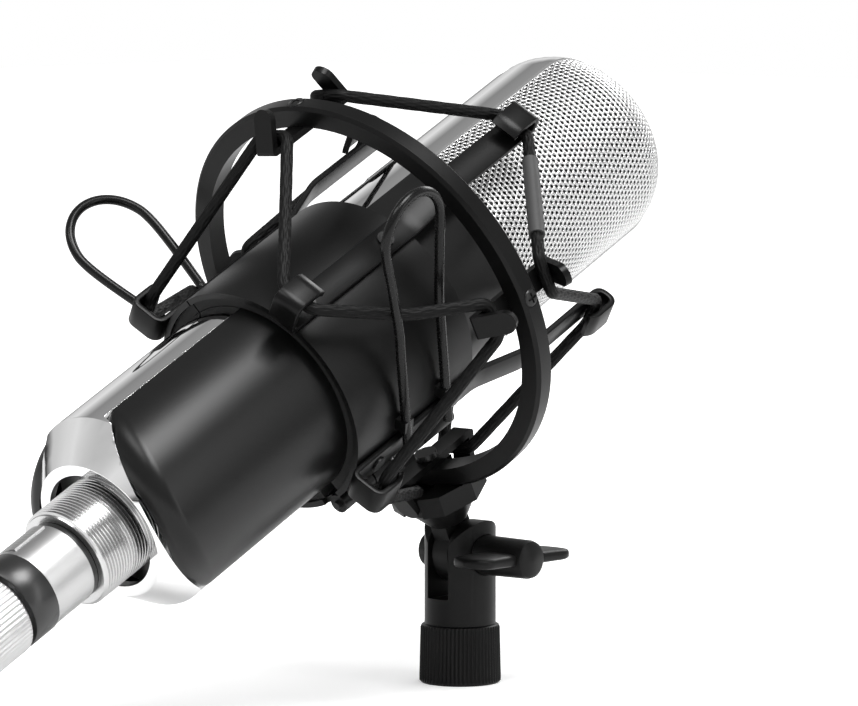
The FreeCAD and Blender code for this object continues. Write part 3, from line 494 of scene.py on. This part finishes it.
def handle(node):
    """A bent wire squeeze handle: two legs that open into a round loop."""
    body, start, end, tail, middle, loop = HANDLES[node]
    length = math.hypot(end[0] - start[0], end[1] - start[1])
    legs = 7.5
    wide = length - loop
    route = [(tail, -legs), (tail * 0.4, -legs), (wide * 0.35, -legs), (wide - 22, -legs),
             (wide - 8, -loop + 1)]
    for step in range(0, 9):
        turn = math.pi * step / 8
        route.append((wide + loop * math.sin(turn), -loop * math.cos(turn)))
    route += [(wide - 8, loop - 1), (wide - 22, legs), (wide * 0.35, legs), (tail * 0.4, legs),
              (tail, legs)]
    line = []
    for distance, across in route:
        share = distance / length
        forward = (start[0] + (end[0] - start[0]) * share, start[1] + (end[1] - start[1]) * share)
        line.append(wire_plane(forward, middle + across))
    name = node + "_wire"
    mesh = tube(name, even_line(smooth_line(line), 0.5), WIRE_RADIUS, sides=20)
    place(name, mesh, CRADLE, "wire_black", body, [node])


STRAP_WIDTH, STRAP_THICK, JAW_RADIUS = 7.0, 1.4, 28.4


def rounded_line(points, bend):
    """Straight runs joined by round bends, with points only where the line turns."""
    line = [points[0]]
    for before, corner, after in zip(points, points[1:], points[2:]):
        back, ahead = (before - corner), (after - corner)
        reach = min(bend, back.length * 0.49, ahead.length * 0.49)
        start = corner + back.normalized() * reach
        end = corner + ahead.normalized() * reach
        for step in range(9):
            t = step / 8
            line.append(start * (1 - t) ** 2 + corner * 2 * t * (1 - t) + end * t * t)
    line.append(points[-1])
    return line


def strap(arm, angle):
    """A flat hook arm: a strip bent in the radial plane, with softened edges."""
    near = JAW_RADIUS + STRAP_THICK / 2
    outline = [(36.2, -36.4), (37.3, -38.2), (37.3, -45.3), (near, -45.3), (near, 2.0), (33.0, 16.0),
               (33.0, 44.4), (37.9, 44.4), (37.9, 37.2), (36.8, 35.4)]
    line = rounded_line([Vector((radius, 0, along)) for radius, along in outline], 2.2)
    edge = 0.22
    half, wide = STRAP_THICK / 2, STRAP_WIDTH / 2
    section = [(-half + edge, -wide), (half - edge, -wide), (half - edge * 0.3, -wide + edge * 0.3),
               (half, -wide + edge), (half, wide - edge), (half - edge * 0.3, wide - edge * 0.3),
               (half - edge, wide), (-half + edge, wide), (-half + edge * 0.3, wide - edge * 0.3),
               (-half, wide - edge), (-half, -wide + edge), (-half + edge * 0.3, -wide + edge * 0.3)]
    points, faces = [], []
    for index, point in enumerate(line):
        forward = (line[min(index + 1, len(line) - 1)] - line[max(index - 1, 0)]).normalized()
        out = Vector((0, 1, 0)).cross(forward)
        for offset, across in section:
            points.append(point + out * offset + Vector((0, across, 0)))
    count = len(section)
    for row in range(len(line) - 1):
        for step in range(count):
            a, b = row * count + step, row * count + (step + 1) % count
            faces.append((a, b, b + count, a + count))
    faces.append(tuple(range(count)))
    faces.append(tuple(range((len(line) - 1) * count, len(line) * count)))
    name = "strap_" + arm
    mesh = sharpen(mesh_from(name, points, faces), 50)
    turn = Matrix.Rotation(math.radians(90 - angle), 4, "Z")
    place(name, mesh, CRADLE @ turn, "strap_black", BODY_OF["arm_" + arm], ["arm_" + arm])


# ---------------------------------------------------------------- microphone

def crown_point(turn, travel, radius, corner, top, bottom):
    """A point of a rounded crown from the angle round the axis and the distance up its side."""
    straight = top - corner - bottom
    if travel <= straight:
        r, z = radius, bottom + travel
    else:
        bend = (travel - straight) / corner
        r = radius - corner + corner * math.cos(bend)
        z = top - corner + corner * math.sin(bend)
    return Vector((r * math.cos(turn), r * math.sin(turn), z)), r


def grille(name, node, facing):
    """Half of the perforated basket: a staggered sheet of round holes, bent round the crown."""
    radius, corner, top, bottom = BODY_RADIUS - 0.35, CROWN_RADIUS - 0.35, GRILLE_TOP - 0.3, BODY_TOP
    half_turn = math.acos((BAND_WIDTH / 2 + 0.2) / radius)
    pitch, hole = 1.45, 0.48
    columns = round(2 * half_turn * radius / pitch)
    step_u = 2 * half_turn / columns
    total = top - corner - bottom + corner * math.pi / 2
    rows = int(total / (pitch * 0.866))
    step_v = total / rows
    sides = 12
    points, faces, known = [], [], {}

    def vertex(u, v):
        travel = min(max(v, 0.0), total)
        r = crown_point(0, travel, radius, corner, top, bottom)[1]
        limit = math.acos(min(1.0, (BAND_WIDTH / 2 + 0.2) / max(r, BAND_WIDTH / 2 + 0.3)))
        turn = u * limit / half_turn
        key = (round(u, 6), round(travel, 4))
        if key not in known:
            known[key] = len(points)
            around = turn + (0 if facing > 0 else math.pi)
            points.append(crown_point(around, travel, radius, corner, top, bottom)[0])
        return known[key]

    for row in range(rows):
        shift = 0.5 if row % 2 else 0.0
        low, high = row * step_v, (row + 1) * step_v
        for column in range(columns + (1 if shift else 0)):
            left = -half_turn + (column - shift) * step_u
            right = left + step_u
            left, right = max(left, -half_turn), min(right, half_turn)
            whole = right - left > 0.9 * step_u
            corners = []
            for share in (0, 1 / 3, 2 / 3):
                corners.append((left + (right - left) * share, low))
            for share in (0, 1 / 3, 2 / 3):
                corners.append((right, low + (high - low) * share))
            for share in (0, 1 / 3, 2 / 3):
                corners.append((right + (left - right) * share, high))
            for share in (0, 1 / 3, 2 / 3):
                corners.append((left, high + (low - high) * share))
            rim = [vertex(u, v) for u, v in corners]
            if not whole:
                faces.append(tuple(rim))
                continue
            centre_u, centre_v = (left + right) / 2, (low + high) / 2
            inner = []
            for side in range(sides):
                turn = math.radians(-135 + 30 * side)
                inner.append(vertex(centre_u + hole / radius * math.cos(turn),
                                    centre_v + hole * math.sin(turn)))
            for side in range(sides):
                after = (side + 1) % sides
                faces.append((rim[side], rim[after], inner[after], inner[side]))
    mesh = mesh_from(name, points, faces)
    piece = place(name, mesh, MIC, "grille_metal", "microphone", [node])
    thick = piece.modifiers.new("sheet", "SOLIDIFY")
    thick.thickness = 0.45 * MM
    thick.offset = 0.0
    return piece


def grille_trim(name, facing):
    """The rolled wire edge of a grille half."""
    radius, corner, top, bottom = BODY_RADIUS - 0.1, CROWN_RADIUS - 0.1, GRILLE_TOP - 0.1, BODY_TOP + 0.5
    half = BAND_WIDTH / 2 + 0.6
    total = top - corner - bottom + corner * math.pi / 2
    limit = 0
    for step in range(101):
        travel = total * step / 100
        r = crown_point(0, travel, radius, corner, top, bottom)[1]
        if r < half + 0.4:
            break
        limit = travel
    sweep = []
    for step in range(81):
        travel = limit * step / 80
        r = crown_point(0, travel, radius, corner, top, bottom)[1]
        turn = math.acos(min(1.0, half / r))
        sweep.append(crown_point(turn, travel, radius, corner, top, bottom)[0])
    line = sweep + [Vector((p.x, -p.y, p.z)) for p in reversed(sweep)]
    if facing < 0:
        line = [Vector((-p.x, -p.y, p.z)) for p in line]
    place(name, tube(name, line, 0.42, sides=10), MIC, "chrome", "microphone")
    arc = []
    for step in range(81):
        turn = math.acos(half / radius) * (1 - step / 40)
        arc.append(Vector((radius * math.cos(turn) * facing, radius * math.sin(turn), bottom)))
    place(name + "_foot", tube(name, arc, 0.5, sides=10), MIC, "chrome", "microphone")


def body_shell(name, node, facing):
    """Half of the painted body; its lower edge follows the frame's arch and is rolled inward.

    A profile point is (radius, along), measured from the arched edge where the third value is True.
    """
    side, inner, roll, lip = BAND_WIDTH / 2 + 0.12, BODY_RADIUS - BODY_WALL, 4.2, BODY_RADIUS - 5.4
    arch_centre = ARCH_RADIUS - BODY_BOTTOM
    profile = [(inner, BODY_TOP, False), (BODY_RADIUS - 0.4, BODY_TOP, False),
               (BODY_RADIUS, BODY_TOP - 0.4, False), (BODY_RADIUS, 0.0, False), (BODY_RADIUS, -40.0, False)]
    for step in range(11):
        turn = math.pi / 2 * step / 10
        profile.append((BODY_RADIUS - roll + roll * math.cos(turn), roll - roll * math.sin(turn), True))
    profile.extend([(lip, 0.0, True), (lip, 2.0, True), (inner, 9.0, True), (inner, 0.0, False)])
    columns = 72
    points, faces = [], []
    for column in range(columns + 1):
        share = math.sin(math.pi / 2 * (2 * column / columns - 1))
        for radius, along, from_edge in profile:
            y = share * math.sqrt(radius ** 2 - side ** 2)
            edge = arch_centre - math.sqrt(ARCH_RADIUS ** 2 - y ** 2)
            x = math.sqrt(radius ** 2 - y ** 2)
            points.append((facing * x, facing * y, edge + along if from_edge else along))
    count = len(profile)
    for column in range(columns):
        for index in range(count):
            a, b = column * count + index, column * count + (index + 1) % count
            faces.append((a, b, b + count, a + count))
    faces.append(tuple(range(count)))
    faces.append(tuple(range(columns * count, (columns + 1) * count)))
    place(name, sharpen(mesh_from(name, points, faces), 40), MIC, "shell_black", "microphone", [node])


def thread_collar():
    pitch, crest, root = 0.92, 12.0, 11.45
    outline = [(8.1, -112.0), (11.3, -112.0)]
    along = -111.6
    while along < -94.0:
        outline.extend([(root, along), (crest, along + pitch * 0.3), (crest, along + pitch * 0.5),
                        (root, along + pitch * 0.8)])
        along += pitch
    outline.extend([(root, -91.0), (8.1, -91.0)])
    place("thread_collar_finished", lathe("thread_collar_finished", outline, 200), MIC, "collar_metal",
          "microphone", ["thread_collar"])


# ---------------------------------------------------------------- cable plug

def plug_parts():
    outline = [(8.1, -134.3), (9.75, -134.3), (10.05, -134.7), (10.1, -135.2), (10.1, -147.2), (9.9, -147.7),
               (9.6, -148.0), (3.6, -148.0), (3.6, -145.0), (8.1, -145.0)]
    collar = lathe("plug_collar_knurled", outline, 56 * 8, ribs=56, rib_depth=0.38, ribbed=(3, 4))
    place("plug_collar_knurled", collar, MIC, "plug_satin", "plug_collar", ["plug_collar"])
    tail = [(3.6, -148.0), (9.45, -148.0), (9.5, -149.0), (9.3, -151.5), (8.7, -154.5), (7.9, -157.5),
            (7.2, -159.4), (6.6, -160.0), (3.6, -160.0)]
    place("plug_tail_finished", lathe("plug_tail_finished", tail, 128), MIC, "plug_satin", "plug_collar",
          ["plug_tail"])
    band = [(8.05, -133.0), (9.8, -133.0), (10.0, -132.7), (10.0, -125.8), (9.85, -125.45), (8.05, -125.4)]
    place("plug_band_finished", lathe("plug_band_finished", band, 128), MIC, "plug_black", "plug",
          ["plug_band"])
    bush = [(2.9, -166.0), (3.9, -166.0), (4.2, -165.7), (4.6, -163.0), (5.0, -160.0), (2.9, -160.0)]
    place("cable_bush_finished", lathe("cable_bush_finished", bush, 96), MIC, "plug_black", "plug_collar",
          ["cable_bush"])
    latch_button()


def latch_button():
    """A rectangular release button with cross ribs, on the barrel at the latch's angle."""
    points, faces = [], []
    rows, columns, length, width = 72, 16, 9.9, 6.6
    for row in range(rows + 1):
        along = -114.05 - length * row / rows
        edge = min(row, rows - row) / rows * length
        for column in range(columns + 1):
            across = -width / 2 + width * column / columns
            r = math.sqrt(10.1 ** 2 - across ** 2)
            inside = 0.7 < edge and abs(across) < width / 2 - 0.5
            r -= 0.16 * (0.5 - 0.5 * math.cos(2 * math.pi * row * 9 / rows)) if inside else 0.0
            points.append((r, across, along))
    top = len(points)
    for row in range(rows + 1):
        for column in range(columns + 1):
            _, y, z = points[row * (columns + 1) + column]
            points.append((8.6, y, z))
    wide = columns + 1
    for row in range(rows):
        for column in range(columns):
            a = row * wide + column
            faces.append((a, a + 1, a + wide + 1, a + wide))
            faces.append((top + a, top + a + wide, top + a + wide + 1, top + a + 1))
    for row in range(rows):
        for a in (row * wide, row * wide + columns):
            faces.append((a, a + wide, top + a + wide, top + a))
    for column in range(columns):
        for a in (column, rows * wide + column):
            faces.append((a, a + 1, top + a + 1, top + a))
    mesh = sharpen(mesh_from("latch_ribbed", points, faces), 30)
    angle = Matrix.Rotation(math.radians(90 - 187.0), 4, "Z")
    place("latch_ribbed", mesh, MIC @ angle, "plug_satin", "latch", ["plug_latch"])


# ---------------------------------------------------------------- everything in place

stand_nut()
wing_nut()
bracket_screws()
elastic()
for arm_name, arm_angle in ARM_ANGLES.items():
    strap(arm_name, arm_angle)
for handle_node in HANDLES:
    handle(handle_node)
grille("front_grille_mesh", "front_grille", 1)
grille("rear_grille_mesh", "rear_grille", -1)
body_shell("front_shell_finished", "front_shell", 1)
body_shell("rear_shell_finished", "rear_shell", -1)
grille_trim("front_grille_trim", 1)
grille_trim("rear_grille_trim", -1)
thread_collar()
plug_parts()

EDGES = {
    "swivel_clevis": 0.35, "ring_stem": 0.4, "front_jaw": 0.3, "rear_jaw": 0.3,
    "bracket_bottom": 0.3, "bracket_right": 0.3, "bracket_top": 0.3, "bracket_left": 0.3,
    "outer_ring": 0.35, "chrome_frame": 0.35, "plug_barrel": 0.2, "swivel_bolt": 0.3,
}
for node, width in EDGES.items():
    refined(node, SLOT_OF[node], width)

for node, piece in frame["nodes"].items():
    piece.data.materials.clear()
    piece.data.materials.append(MATERIALS[SLOT_OF[node]])
    for face in piece.data.polygons:
        face.use_smooth = True
    piece.data.set_sharp_from_angle(angle=math.radians(30))


# ---------------------------------------------------------------- studio

def floor():
    """A white sweep with a painted glow: it glows more away from the stand and less near it, a painted shade
    round the stand, so that only the contact shadow shows.
    """
    bpy.ops.mesh.primitive_plane_add(size=6, location=(0, 0, 0))
    plane = bpy.context.object
    plane.name = "studio_floor"
    material = new_material("studio_floor", (0.8, 0.8, 0.8), roughness=0.8, specular=0.05)
    tree = material.node_tree
    shader = tree.nodes["Principled BSDF"]
    shader.inputs["Emission Color"].default_value = (1, 1, 1, 1)
    place_node = tree.nodes.new("ShaderNodeTexCoord")
    reach = tree.nodes.new("ShaderNodeVectorMath")
    reach.operation = "LENGTH"
    tree.links.new(place_node.outputs["Object"], reach.inputs[0])
    # Painted shade: the floor's glow is 0.42 within 0.12 m of the stand and rises smoothly to full glow at
    # 0.6 m.
    glow = tree.nodes.new("ShaderNodeMapRange")
    glow.interpolation_type = "SMOOTHSTEP"
    glow.inputs["From Min"].default_value = 0.12
    glow.inputs["From Max"].default_value = 0.6
    glow.inputs["To Min"].default_value = 0.42
    glow.inputs["To Max"].default_value = 1.0
    tree.links.new(reach.outputs["Value"], glow.inputs["Value"])
    # Painted light: camera rays see the floor's full glow, all other rays 0.35 of it.
    path = tree.nodes.new("ShaderNodeLightPath")
    seen = tree.nodes.new("ShaderNodeMapRange")
    seen.inputs["To Min"].default_value = 0.35
    tree.links.new(path.outputs["Is Camera Ray"], seen.inputs["Value"])
    strength = tree.nodes.new("ShaderNodeMath")
    strength.operation = "MULTIPLY"
    tree.links.new(glow.outputs["Result"], strength.inputs[0])
    tree.links.new(seen.outputs["Result"], strength.inputs[1])
    tree.links.new(strength.outputs["Value"], shader.inputs["Emission Strength"])
    plane.data.materials.append(material)


def area_light(name, centre, offset, size, power):
    data = bpy.data.lights.new(name, "AREA")
    data.shape = "RECTANGLE"
    data.size, data.size_y = size
    data.energy = power
    lamp = bpy.data.objects.new(name, data)
    bpy.context.scene.collection.objects.link(lamp)
    lamp.location = centre + Vector(offset)
    lamp.rotation_euler = (-Vector(offset)).to_track_quat("-Z", "Y").to_euler()


def studio_world():
    """White for the camera; reflections see a grey gradient with a dark band at the horizon."""
    world = bpy.data.worlds.new("studio")
    bpy.context.scene.world = world
    world.use_nodes = True
    tree = world.node_tree
    background = tree.nodes["Background"]
    background.inputs["Strength"].default_value = 1.0
    place_node = tree.nodes.new("ShaderNodeTexCoord")
    split = tree.nodes.new("ShaderNodeSeparateXYZ")
    tree.links.new(place_node.outputs["Generated"], split.inputs["Vector"])
    remap = tree.nodes.new("ShaderNodeMapRange")
    remap.inputs["From Min"].default_value = -1.0
    tree.links.new(split.outputs["Z"], remap.inputs["Value"])
    ramp = tree.nodes.new("ShaderNodeValToRGB")
    stops = ((0.0, 0.3), (0.4, 0.3), (0.47, 0.06), (0.5, 0.05),
             (0.55, 0.6), (0.68, 0.8), (0.8, 0.26), (1.0, 0.38))
    while len(ramp.color_ramp.elements) < len(stops):
        ramp.color_ramp.elements.new(0.5)
    for element, (position, level) in zip(ramp.color_ramp.elements, stops):
        element.position = position
        element.color = (level, level, level, 1)
    tree.links.new(remap.outputs["Result"], ramp.inputs["Fac"])
    tree.links.new(ramp.outputs["Color"], background.inputs["Color"])
    bright = tree.nodes.new("ShaderNodeBackground")
    bright.inputs["Color"].default_value = (1, 1, 1, 1)
    bright.inputs["Strength"].default_value = 1.0
    path = tree.nodes.new("ShaderNodeLightPath")
    mix = tree.nodes.new("ShaderNodeMixShader")
    tree.links.new(path.outputs["Is Camera Ray"], mix.inputs["Fac"])
    tree.links.new(background.outputs["Background"], mix.inputs[1])
    tree.links.new(bright.outputs["Background"], mix.inputs[2])
    tree.links.new(mix.outputs["Shader"], tree.nodes["World Output"].inputs["Surface"])


def camera():
    """Look at the object from in front of its cable plug; returns its right, up and forward directions."""
    azimuth, elevation, distance = math.radians(42.4), math.radians(5.0), 1.3
    across, lower = 13.7 * MM, 13.5 * MM
    forward = Vector((-math.sin(azimuth) * math.cos(elevation), math.cos(azimuth) * math.cos(elevation),
                      -math.sin(elevation)))
    right = Vector((math.cos(azimuth), math.sin(azimuth), 0))
    up = right.cross(forward)
    data = bpy.data.cameras.new("camera")
    data.sensor_width = 36.0
    data.lens = 234.5
    data.clip_end = 50.0
    view = bpy.data.objects.new("camera", data)
    bpy.context.scene.collection.objects.link(view)
    view.location = RING_CENTRE + right * across - up * lower - forward * distance
    view.rotation_euler = forward.to_track_quat("-Z", "Y").to_euler()
    bpy.context.scene.camera = view
    return right, up, forward


floor()
studio_world()
RIGHT, UP, FORWARD = camera()
area_light("key", RING_CENTRE, -RIGHT * 0.45 + UP * 0.75 - FORWARD * 0.5, (0.6, 0.25), 3.5)
area_light("fill", RING_CENTRE, RIGHT * 0.9 + UP * 0.25 - FORWARD * 0.5, (0.15, 0.9), 2.0)
area_light("top", RING_CENTRE, Vector((0.12, 0.21, 0.97)) * 0.8 - FORWARD * 0.4, (0.45, 0.45), 11.0)
area_light("rim", RING_CENTRE, RIGHT * 0.5 + UP * 0.6 + FORWARD * 0.7, (0.6, 0.3), 3.0)
bpy.context.scene.view_settings.view_transform = "Standard"
